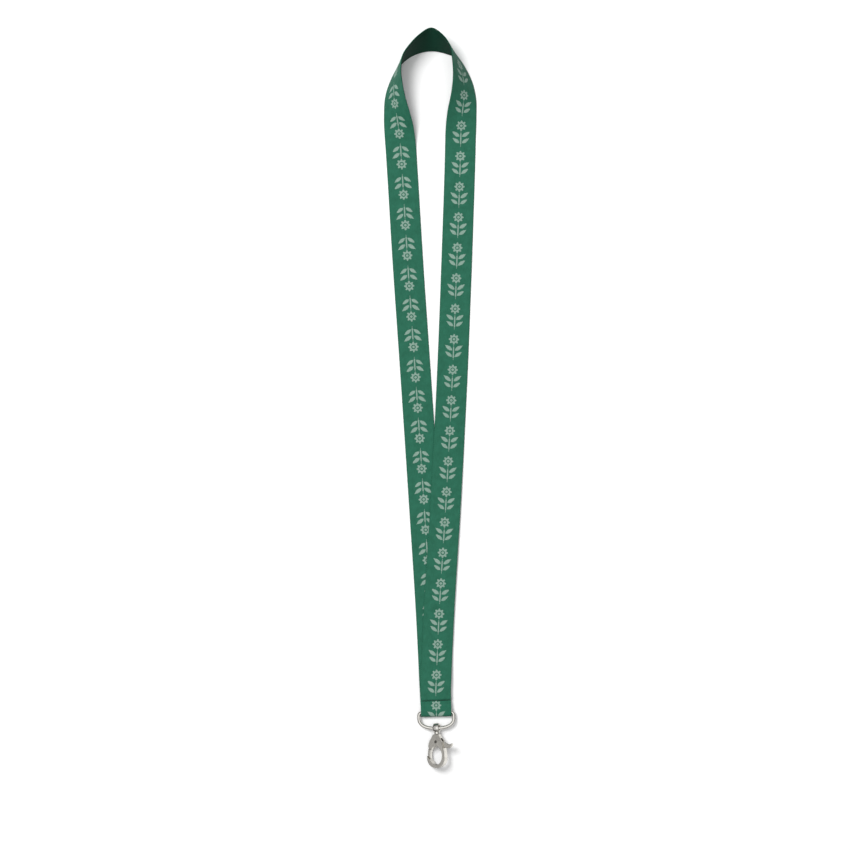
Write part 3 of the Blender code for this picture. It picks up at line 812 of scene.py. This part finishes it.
@dataclass
class Ribbon:
    """The woven strap: one strip with rounded selvedges, a creased seam and a soft camber."""

    route: RibbonRoute
    width: float = 20.0 * MM
    thickness: float = 0.8 * MM
    face_columns: int = 20
    row: float = 1.2 * MM
    fine_row: float = 0.25 * MM
    fine_reach: float = 3.0 * MM
    crease_depth: float = 0.44 * MM
    crease_half_width: float = 0.6 * MM
    crease_slant: float = 0.012
    pucker: float = 0.07 * MM
    pucker_off: float = 1.4 * MM
    pucker_half_width: float = 0.9 * MM
    pinch: float = 0.028
    wave: float = 0.12 * MM
    camber: float = 0.08 * MM
    stitches: int = 9
    bands: int = 5

    def __post_init__(self) -> None:
        """Find the seam on the front of the fold."""
        low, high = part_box("seam_needle_thread")
        self.seam_y = (low.y + high.y) / 2
        fold = self.route.where(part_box("d_ring")[1].y, 0.0) + 3 * MM
        self.seam = self.route.where(self.seam_y, fold)

    def section(self) -> list[tuple[float, float, bool]]:
        """The strip's section as distances to the side and out of the face, and which side each is on."""
        half, thick = self.width / 2, self.thickness / 2
        corner = ((0.985, 0.86), (0.996, 0.5), (1.0, 0.0), (0.996, -0.5), (0.985, -0.86))
        face = [
            (-0.97 * half + 1.94 * half * i / self.face_columns, thick, True)
            for i in range(self.face_columns + 1)
        ]
        right = [(x * half, y * thick, y > 0) for x, y in corner]
        back = [(-x, -y, False) for x, y, _ in face]
        left = [(-x, y, on_face) for x, y, on_face in reversed(right)]
        return face + right + back + left

    def rows(self) -> list[float]:
        """Distances of the strip's rows from the tail, closer together at the seam and in the fold."""
        marks = [0.0]
        while marks[-1] < self.route.length:
            here = marks[-1]
            near = here < self.seam + self.fine_reach
            marks.append(here + (self.fine_row if near else self.row))
        marks[-1] = self.route.length
        return marks

    def crease(self, distance: float, side: float) -> float:
        """How far the seam pulls the cloth down at a place."""
        off = distance - self.seam - self.crease_slant * side
        dip = math.exp(-((off / self.crease_half_width) ** 2))
        beat = math.cos(math.tau * self.stitches * (side / self.width + 0.5))
        swell = math.exp(-(((abs(off) - self.pucker_off) / self.pucker_half_width) ** 2))
        return self.crease_depth * dip * (1 + 0.25 * beat) - self.pucker * swell * (1 + beat)

    def waviness(self, distance: float, side: float) -> float:
        """The gentle unevenness of a strap that has been worn, none where layers lie together."""
        free = eased((distance - 0.24) / 0.05) * eased((0.72 - distance) / 0.05)
        twist = side / self.width
        return self.wave * free * (
            math.sin(distance * 61.0 + 1.3) * (0.6 + twist) + 0.5 * math.sin(distance * 137.0 + 4.0 * twist)
        )

    def build(self) -> bpy.types.Object:
        """Make the strip by rolling a flat grid round its section and laying it along the route."""
        section = self.section()
        rows = self.rows()
        columns = len(section)
        bm = bmesh.new()
        bmesh.ops.create_grid(bm, x_segments=columns, y_segments=len(rows) - 1, size=1)
        cloth = bm.loops.layers.uv.new("cloth")
        baked = bm.loops.layers.uv.new("OFBake")
        last = len(rows) - 1
        cells = {
            v: (round((v.co.x + 1) / 2 * columns), round((v.co.y + 1) / 2 * last)) for v in bm.verts
        }
        band_length = self.route.length / self.bands
        for face in bm.faces:
            column = min(cells[v][0] for v in face.verts)
            band = int(sum(rows[cells[v][1]] for v in face.verts) / 4 / band_length * 0.999999)
            sides = (section[column][2], section[(column + 1) % columns][2])
            face.material_index = 0 if all(sides) else 1
            for loop in face.loops:
                i, j = cells[loop.vert]
                loop[cloth].uv = (section[i % columns][0] / MM, rows[j] / MM)
                share = 0.62 * i / self.face_columns if i <= self.face_columns else 0.62 + 0.38 * (
                    (i - self.face_columns) / (columns - self.face_columns)
                )
                up = rows[j] / band_length - band
                loop[baked].uv = ((band + 0.02 + 0.96 * share) / self.bands, 0.012 + 0.976 * up)
        frames = [self.route.at(distance) for distance in rows]
        for vert, (i, j) in cells.items():
            side, out, _ = section[i % columns]
            middle, across, face = frames[j]
            off = (rows[j] - self.seam - self.crease_slant * side) / (1.4 * self.crease_half_width)
            side *= 1 - self.pinch * math.exp(-(off**2))
            rise = self.waviness(rows[j], side) - self.crease(rows[j], side)
            rise -= self.camber * (2 * side / self.width) ** 4 * eased((rows[j] - 0.24) / 0.05)
            vert.co = middle + across * side + face * (out + rise)
        bmesh.ops.remove_doubles(bm, verts=bm.verts, dist=1e-7)
        bmesh.ops.holes_fill(bm, edges=[e for e in bm.edges if e.is_boundary], sides=0)
        bmesh.ops.recalc_face_normals(bm, faces=bm.faces)
        strip = to_object("ribbon_cloth", bm, [RibbonCloth().material(), PlainWeave().material()])
        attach(strip, "strap")
        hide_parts("ribbon")
        return strip

    def seam_place(self, side: float, out: float) -> Vector:
        """A place on the front of the seam, to the side of the middle and out of the creased face."""
        distance = self.seam + self.crease_slant * side
        middle, across, face = self.route.at(distance)
        return middle + across * side + face * (self.thickness / 2 - self.crease(distance, side) + out)


@dataclass
class CrossSeam:
    """The row of machine stitches that closes the fold, seen from the front and from below."""

    ribbon: Ribbon
    thread: float = 0.25 * MM
    margin: float = 1.0 * MM
    samples: int = 12
    sink: float = 0.16 * MM
    lift: float = 0.16 * MM
    skew: float = 0.22 * MM
    clear: float = 0.04 * MM
    arch_power: float = 0.6

    def stitch_line(self, level: float, needle: bool) -> list[Vector]:
        """The thread's middle line across the ribbon.

        Args:
            level: Height of the underside's thread above the table.
            needle: Whether it is the needle thread, which follows the front's crease.

        Returns:
            The points of the line.
        """
        half = self.ribbon.width / 2 - self.margin
        count = self.ribbon.stitches * self.samples
        points = []
        for step in range(count + 1):
            phase = step / self.samples
            side = half * (2 * step / count - 1)
            arch = abs(math.sin(math.pi * phase)) ** self.arch_power
            skew = self.skew * (phase % 1 - 0.5)
            if needle:
                point = self.ribbon.seam_place(side, self.lift * arch - self.sink * (1 - arch) + self.clear)
            else:
                middle, across, _ = self.ribbon.route.at(self.ribbon.seam)
                point = middle + across * side
                point.z = level + self.thread * 1.05 + self.sink * (1 - arch)
            points.append(point + Vector((0, skew, 0)))
        return points

    def build(self) -> list[bpy.types.Object]:
        """Make both threads."""
        finish = SewingThread().material()
        pieces = []
        for node, needle in (("seam_needle_thread", True), ("seam_bobbin_thread", False)):
            line = self.stitch_line(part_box(node)[0].z, needle)
            bm = sweep(rail(line, False, Vector((0, 0, 1))), self.thread, 8, False)
            piece = to_object(node.replace("thread", "stitches"), bm, [finish])
            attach(piece, "strap")
            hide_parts(node)
            pieces.append(piece)
        return pieces


@dataclass
class DRing:
    """The bent wire ring whose bar the ribbon is folded round."""

    wire: float = 1.1 * MM
    half_width: float = 11.4 * MM
    corner: float = 1.9 * MM
    shoulder: float = 3.6 * MM
    reach: float = 10.2 * MM
    squareness: float = 2.4
    sides: int = 24

    def line(self) -> list[Vector]:
        """The wire's closed middle line, with its bar along X."""
        end = self.half_width - self.corner
        side = [Vector((end * step / 8, 0, 0)) for step in range(8)]
        for step in range(12):
            angle = math.pi / 2 * (1 - step / 11)
            side.append(Vector((end + self.corner * math.cos(angle), self.corner * (math.sin(angle) - 1), 0)))
        power = 2 / self.squareness
        for step in range(37):
            angle = math.pi / 2 * step / 36
            across = self.half_width * max(0.0, math.cos(angle)) ** power
            down = (self.reach - self.shoulder) * math.sin(angle) ** power
            side.append(Vector((across, -self.shoulder - down, 0)))
        side[-1].x = 0.0
        return side + [Vector((-p.x, p.y, 0)) for p in reversed(side[1:-1])]

    def build(self) -> bpy.types.Object:
        """Make the ring."""
        bar_at = joint_point("ring_swing")
        place = placed(bar_at, joint_axis("ring_swing"), bar_at - joint_point("eye_swing"))
        bm = sweep(rail(self.line(), True, Vector((0, 0, 1))), self.wire, self.sides, True)
        bmesh.ops.transform(bm, matrix=place, verts=bm.verts)
        piece = to_object("ring_wire", bm, [Finish.WIRE.value.material()])
        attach(piece, "ring")
        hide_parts("d_ring")
        return piece


@dataclass
class SwivelEye:
    """The cast eye round the ring's wire, with the shoulder, stem and peened ball that the hook turns on."""

    hole: float = 1.65 * MM
    stock: float = 1.45 * MM
    width: float = 4.0 * MM
    slack: float = 0.25 * MM
    roll: float = math.radians(18)
    shoulder: float = 1.75 * MM
    shoulder_length: float = 1.25 * MM
    stem: float = 0.85 * MM
    neck_drop: float = 0.95 * MM
    ball: float = 1.25 * MM
    ball_half_length: float = 1.1 * MM
    ball_down: float = 5.75 * MM
    voxel: float = 0.085 * MM

    def build(self) -> bpy.types.Object:
        """Make the eye with its stem in one casting."""
        middle = self.hole + self.stock / 2
        section = []
        for step in range(28):
            angle = math.tau * step / 28
            wide = math.copysign(abs(math.cos(angle)) ** 0.8, math.cos(angle))
            tall = math.copysign(abs(math.sin(angle)) ** 0.9, math.sin(angle))
            section.append(Vector((self.width / 2 * wide, middle + self.stock / 2 * tall, 0)))
        ring = spun(section, Vector((1, 0, 0)), 72, True)
        bmesh.ops.translate(ring, verts=ring.verts, vec=(0, self.slack, 0))

        end = middle + self.stock / 2 + self.neck_drop
        profile = [
            (0.0, middle),
            (0.85 * self.shoulder, middle),
            (self.shoulder, end - self.shoulder_length),
            (self.shoulder, end - 0.1 * MM),
            (self.shoulder - 0.1 * MM, end),
            (self.stem, end),
        ]
        start = math.asin(self.stem / self.ball)
        for step in range(15):
            angle = start + (math.pi - start) * step / 14
            down = self.ball_down - self.ball_half_length * math.cos(angle)
            profile.append((self.ball * math.sin(angle), down))
        profile[-1] = (0.0, profile[-1][1])
        stem = spun([Vector((r, self.slack - down, 0)) for r, down in profile], Vector((0, 1, 0)), 48, False)

        place = placed(joint_point("eye_swing"), joint_axis("eye_swing"), joint_axis("clasp_swivel"))
        place = place @ Matrix.Rotation(-self.roll, 4, "Y")
        for shape in (ring, stem):
            bmesh.ops.transform(shape, matrix=place, verts=shape.verts)
        piece = to_object("eye_casting", ring, [])
        combine(piece, to_object("eye_stem", stem, []), "UNION")
        soften(piece, self.voxel, 5)
        piece.data.materials.clear()
        piece.data.materials.append(Finish.WIRE.value.material())
        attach(piece, "eye")
        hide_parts("swivel_eye")
        return piece


def clasp_place() -> Matrix:
    """The hook's frame: its pin along Z, its length along Y, and the eye at its upper end."""
    up, along = joint_axis("gate_pivot"), joint_axis("clasp_swivel")
    return placed(joint_point("gate_pivot"), along.cross(up), along)


@dataclass
class ClaspBody:
    """The cast lobster hook: a plate drawn into a teardrop ring, slotted for its gate."""

    thickness: float = 4.8 * MM
    neck_taper: float = 0.3
    neck_top: float = 4.9 * MM
    neck_half_width: float = 1.9 * MM
    radius: float = 6.3 * MM
    centre_y: float = -10.75 * MM
    eyelet_half_width: float = 4.4 * MM
    eyelet_half_length: float = 6.05 * MM
    eyelet_y: float = -8.9 * MM
    edge_round: float = 0.92 * MM
    side: tuple[tuple[float, float], ...] = ((4.0, 2.4), (2.2, 3.3), (0.0, 4.6), (-3.85, 5.5), (-7.85, 6.2))
    mouth_top: tuple[tuple[float, float], ...] = ((-3.5, -4.55), (-4.3, -4.5), (-5.0, -4.05))
    mouth_outer_y: float = -3.3 * MM
    eyelet_start: tuple[float, float] = (-2.75, -4.35)
    tip_outer: tuple[float, float] = (-6.28, -9.05)
    tip_inner: tuple[float, float] = (-4.2, -11.85)
    tip_run: float = 0.6 * MM
    slot_bottom: float = -4.9 * MM
    slot_heel: float = -3.95 * MM
    slot_top: float = 2.25 * MM
    slot_width: float = 2.8 * MM
    ball_y: float = 3.35 * MM
    window_half: float = 1.35 * MM
    window_half_width: float = 1.5 * MM
    bore: float = 1.05 * MM
    pin_hole: float = 0.9 * MM
    voxel: float = 0.106 * MM

    def outline(self) -> list[tuple[float, float]]:
        """The hook's outline from the top of its mouth, over the neck and round to the mouth again."""
        profile = [(self.neck_top, self.neck_half_width)]
        profile += [(y * MM, half * MM) for y, half in self.side]
        profile.append((self.centre_y, self.radius))
        sampled = smooth_through(profile, 8)
        left = [(-half, y) for y, half in reversed(sampled) if y > self.mouth_outer_y]
        right = [(half, y) for y, half in sampled]
        outer = (self.tip_outer[0] * MM, self.tip_outer[1] * MM)
        inner = (self.tip_inner[0] * MM, self.tip_inner[1] * MM)
        bottom = []
        for step in range(1, 73):
            angle = -math.pi * step / 72
            x, y = self.radius * math.cos(angle), self.centre_y + self.radius * math.sin(angle)
            if x > 0 or y < outer[1] - self.tip_run:
                bottom.append((x, y))
        mouth = [(x * MM, y * MM) for x, y in self.mouth_top]
        return [*left, *right, *bottom, outer, *self.eyelet(inner), *mouth]

    def eyelet(self, inner: tuple[float, float]) -> list[tuple[float, float]]:
        """The inner wall from the hook's tip round the bottom and up to the web."""
        start = (self.eyelet_start[0] * MM, self.eyelet_start[1] * MM)
        below = (inner[1] - self.tip_run - self.eyelet_y) / self.eyelet_half_length
        first = -math.pi - math.asin(below)
        last = math.acos((start[0] + self.tip_run) / self.eyelet_half_width)
        line = [inner]
        for step in range(91):
            angle = first + (last - first) * step / 90
            x = self.eyelet_half_width * math.cos(angle)
            line.append((x, self.eyelet_y + self.eyelet_half_length * math.sin(angle)))
        return [*line, start]

    def taper(self, bm: bmesh.types.BMesh) -> None:
        """Thin the hook towards its neck."""
        for vert in bm.verts:
            share = min(1.0, max(0.0, vert.co.y / self.neck_top))
            vert.co.z *= 1 - self.neck_taper * share

    def cutters(self) -> list[bmesh.types.BMesh]:
        """The gate's slot, the ball's pocket, the stem's bore and the pin's hole."""
        reach, through = 14 * MM, self.thickness
        slot = [
            (-reach, self.slot_bottom),
            (0.0, self.slot_bottom),
            (self.radius - 2 * MM, self.slot_heel),
            (reach, self.slot_heel),
            (reach, self.slot_top),
            (-reach, self.slot_top),
        ]
        pocket = []
        for step in range(48):
            angle = math.tau * step / 48
            y = self.ball_y + self.window_half * math.sin(angle)
            pocket.append((self.window_half_width * math.cos(angle), y))
        stem = Matrix.Translation((0, self.ball_y, 0)) @ Matrix.Rotation(-math.pi / 2, 4, "X")
        return [
            extruded(slot, -self.slot_width / 2, self.slot_width / 2),
            extruded(pocket, -through, self.window_half_width),
            bar(self.bore, 0.0, self.neck_top - self.ball_y + 1 * MM, stem),
            bar(self.pin_hole, -through, through, Matrix()),
        ]

    def build(self) -> bpy.types.Object:
        """Make the hook."""
        place = clasp_place()
        bm = extruded(self.outline(), -self.thickness / 2, self.thickness / 2)
        self.taper(bm)
        rounded(bm, self.edge_round, 4)
        bmesh.ops.transform(bm, matrix=place, verts=bm.verts)
        piece = to_object("clasp_casting", bm, [])
        for cutter in self.cutters():
            bmesh.ops.transform(cutter, matrix=place, verts=cutter.verts)
            bmesh.ops.recalc_face_normals(cutter, faces=cutter.faces)
            combine(piece, to_object("clasp_cutter", cutter, []), "DIFFERENCE")
        soften(piece, self.voxel, 4)
        piece.data.materials.clear()
        piece.data.materials.append(Finish.CAST.value.material())
        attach(piece, "clasp")
        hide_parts("clasp_body")
        return piece


@dataclass
class Gate:
    """The gate arm, its hub and the thumb lever, cast in one."""

    width: float = 2.5 * MM
    head_width: float = 3.4 * MM
    pin_hole: float = 0.9 * MM
    pocket: float = 1.5 * MM
    pocket_from: float = 0.05 * MM
    edge_round: float = 0.35 * MM
    voxel: float = 0.09 * MM
    outline: tuple[tuple[float, float], ...] = (
        (11.3, -1.65),
        (10.9, -1.05),
        (10.0, -1.65),
        (8.8, -1.85),
        (7.4, -1.35),
        (5.5, -0.25),
        (4.0, 0.35),
        (2.9, 0.6),
        (1.8, 0.95),
        (1.15, 1.6),
        (0.0, 2.0),
        (-1.2, 1.75),
        (-2.8, 0.85),
        (-4.2, -0.7),
        (-5.0, -2.3),
        (-5.5, -4.0),
        (-5.85, -6.0),
        (-6.1, -8.0),
        (-6.16, -8.7),
        (-4.3, -11.2),
        (-4.22, -10.4),
        (-4.4, -9.0),
        (-4.35, -7.6),
        (-4.05, -6.0),
        (-3.5, -4.8),
        (-2.6, -3.6),
        (-1.3, -2.75),
        (0.0, -2.45),
        (2.0, -2.6),
        (4.2, -3.2),
        (6.5, -3.95),
        (8.3, -4.35),
        (9.9, -3.9),
        (11.0, -2.7),
    )
    head: tuple[tuple[float, float], ...] = (
        (-5.6, -4.35),
        (-5.85, -6.0),
        (-6.1, -8.0),
        (-6.16, -8.7),
        (-4.3, -11.2),
        (-4.22, -10.4),
        (-4.4, -9.0),
        (-4.35, -7.6),
        (-4.05, -6.0),
        (-3.75, -5.15),
        (-4.4, -4.95),
        (-5.15, -4.75),
    )

    def plate(self, outline: tuple[tuple[float, float], ...], width: float) -> bmesh.types.BMesh:
        """One flat part of the casting with a rounded rim."""
        bm = extruded([(x * MM, y * MM) for x, y in outline], -width / 2, width / 2)
        rounded(bm, self.edge_round, 3)
        return bm

    def build(self) -> bpy.types.Object:
        """Make the gate."""
        place = clasp_place()
        piece = to_object("gate_casting", self.plate(self.outline, self.width), [])
        combine(piece, to_object("gate_head", self.plate(self.head, self.head_width), []), "UNION")
        for cutter in (
            bar(self.pin_hole, -self.width, self.width, Matrix()),
            bar(self.pocket, self.pocket_from, self.width, Matrix()),
        ):
            combine(piece, to_object("gate_cutter", cutter, []), "DIFFERENCE")
        piece.data.transform(place)
        soften(piece, self.voxel, 4)
        piece.data.materials.clear()
        piece.data.materials.append(Finish.CAST.value.material())
        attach(piece, "gate")
        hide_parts("gate_lever")
        return piece


@dataclass
class GatePin:
    """The rivet that the gate turns on, with slightly domed ends."""

    radius: float = 0.75 * MM
    half_length: float = 2.3 * MM
    dome: float = 0.16 * MM

    def build(self) -> bpy.types.Object:
        """Make the pin."""
        profile = [Vector((0, 0, -self.half_length))]
        for step in range(1, 7):
            angle = math.pi / 2 * step / 6
            low = -self.half_length + self.dome * (1 - math.cos(angle))
            profile.append(Vector((self.radius * math.sin(angle), 0, low)))
        profile += [Vector((p.x, 0, -p.z)) for p in reversed(profile)]
        bm = spun(profile, Vector((0, 0, 1)), 48, False)
        bmesh.ops.transform(bm, matrix=clasp_place(), verts=bm.verts)
        piece = to_object("gate_rivet", bm, [Finish.RIVET.value.material()])
        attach(piece, "clasp")
        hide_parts("gate_pin")
        return piece


@dataclass
class GateSpring:
    """The torsion spring round the pin, with its fixed leg in the hook's cheek."""

    wire: float = 0.175 * MM
    radius: float = 1.125 * MM
    turns: float = 1.5
    pitch: float = 0.45 * MM
    start: float = 0.4 * MM
    leg_top: float = 1.9 * MM
    leg_offset: float = 0.12 * MM

    def build(self) -> bpy.types.Object:
        """Make the spring."""
        points = []
        for step in range(round(self.turns * 48) + 1):
            turn = step / 48
            angle = math.tau * turn
            x, y = self.radius * math.cos(angle), self.radius * math.sin(angle)
            points.append(Vector((x, y, self.start + self.pitch * turn)))
        top = points[-1]
        points.append(top + Vector((0, -self.leg_offset, self.leg_offset)))
        points.append(Vector((top.x, top.y - self.leg_offset, self.leg_top)))
        bm = sweep(rail(points, False, Vector((0, 0, 1))), self.wire, 12, False)
        bmesh.ops.transform(bm, matrix=clasp_place(), verts=bm.verts)
        piece = to_object("spring_coil", bm, [Finish.SPRING.value.material()])
        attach(piece, "clasp")
        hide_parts("gate_spring")
        return piece


@dataclass
class Studio:
    """A pale table under a soft tent of light, seen from straight above."""

    floor_size: float = 12.0
    camera_x: float = -3.4 * MM
    camera_y: float = -17.0 * MM
    view_width: float = 557.0 * MM
    lens: float = 110.0
    key_power: float = 84.0
    key_size: float = 1.35
    key_at: tuple[float, float, float] = (-1.35, 1.2, 2.7)
    tent: tuple[tuple[float, float], ...] = (
        (-1.0, 0.15),
        (-0.85, 0.7),
        (-0.62, 1.25),
        (-0.4, 0.8),
        (-0.2, 0.04),
        (0.28, 0.05),
        (0.42, 0.42),
        (0.62, 0.48),
        (0.8, 0.62),
        (0.92, 1.1),
        (1.0, 1.2),
    )

    def floor(self) -> None:
        """Lay the table's surface."""
        bm = bmesh.new()
        bmesh.ops.create_grid(bm, x_segments=1, y_segments=1, size=self.floor_size / 2)
        g = Graph("table_white")
        g.bump(g.noise(g.object_place(), 900.0, 2.0), 0.00002)
        g.set(Base_Color=(0.92, 0.92, 0.92, 1.0), Roughness=0.75, Specular_IOR_Level=0.1)
        table = to_object("table", bm, [g.material])
        table.visible_glossy = False

    def camera(self) -> None:
        """Hang the camera over the middle of the view."""
        data = bpy.data.cameras.new("camera")
        data.lens = self.lens
        data.sensor_width = 36.0
        data.clip_start = 0.01
        camera = bpy.data.objects.new("camera", data)
        height = self.view_width / data.sensor_width * self.lens
        camera.location = (self.camera_x, self.camera_y, height)
        bpy.context.collection.objects.link(camera)
        bpy.context.scene.camera = camera

    def light(self) -> None:
        """Set one large soft light and a tent that is bright overhead and dark round its horizon and at its
        foot.
        """
        data = bpy.data.lights.new("key", "AREA")
        data.shape = "SQUARE"
        data.size = self.key_size
        data.energy = self.key_power
        key = bpy.data.objects.new("key", data)
        key.location = self.key_at
        key.rotation_mode = "QUATERNION"
        key.rotation_quaternion = Vector(self.key_at).to_track_quat("Z", "Y")
        key.visible_glossy = False
        bpy.context.collection.objects.link(key)

        world = bpy.data.worlds.new("tent")
        bpy.context.scene.world = world
        world.use_nodes = True
        nodes, links = world.node_tree.nodes, world.node_tree.links
        place = nodes.new("ShaderNodeTexCoord")
        parts = nodes.new("ShaderNodeSeparateXYZ")
        height = nodes.new("ShaderNodeMapRange")
        ramp = nodes.new("ShaderNodeValToRGB")
        height.inputs[1].default_value = -1.0
        links.new(place.outputs["Generated"], parts.inputs[0])
        links.new(parts.outputs[2], height.inputs[0])
        links.new(height.outputs[0], ramp.inputs[0])
        links.new(ramp.outputs[0], nodes["Background"].inputs[0])
        stops = ramp.color_ramp.elements
        while len(stops) < len(self.tent):
            stops.new(0.5)
        for stop, (up, tone) in zip(stops, self.tent):
            stop.position = (up + 1) / 2
            stop.color = (tone, tone, tone, 1.0)

    def build(self) -> None:
        """Set the table, the camera and the light."""
        bpy.context.scene.view_settings.view_transform = "Standard"
        self.floor()
        self.camera()
        self.light()


def report(piece: bpy.types.Object) -> None:
    """Log a piece's name and how many faces it has."""
    LOG.info("%s: %d faces", piece.name, len(piece.data.polygons))


def main() -> None:
    """Build the lanyard piece by piece and light it."""
    logging.basicConfig(level=logging.INFO, format="%(name)s: %(message)s")
    ribbon = Ribbon(RibbonRoute(frame["nodes"]["ribbon"]))
    strip = ribbon.build()
    report(strip)
    stitches = CrossSeam(ribbon).build()
    for piece in stitches:
        report(piece)
    for part in (DRing(), SwivelEye(), ClaspBody(), Gate(), GatePin(), GateSpring()):
        report(part.build())
    Studio().build()


if __name__ == "__main__":
    main()
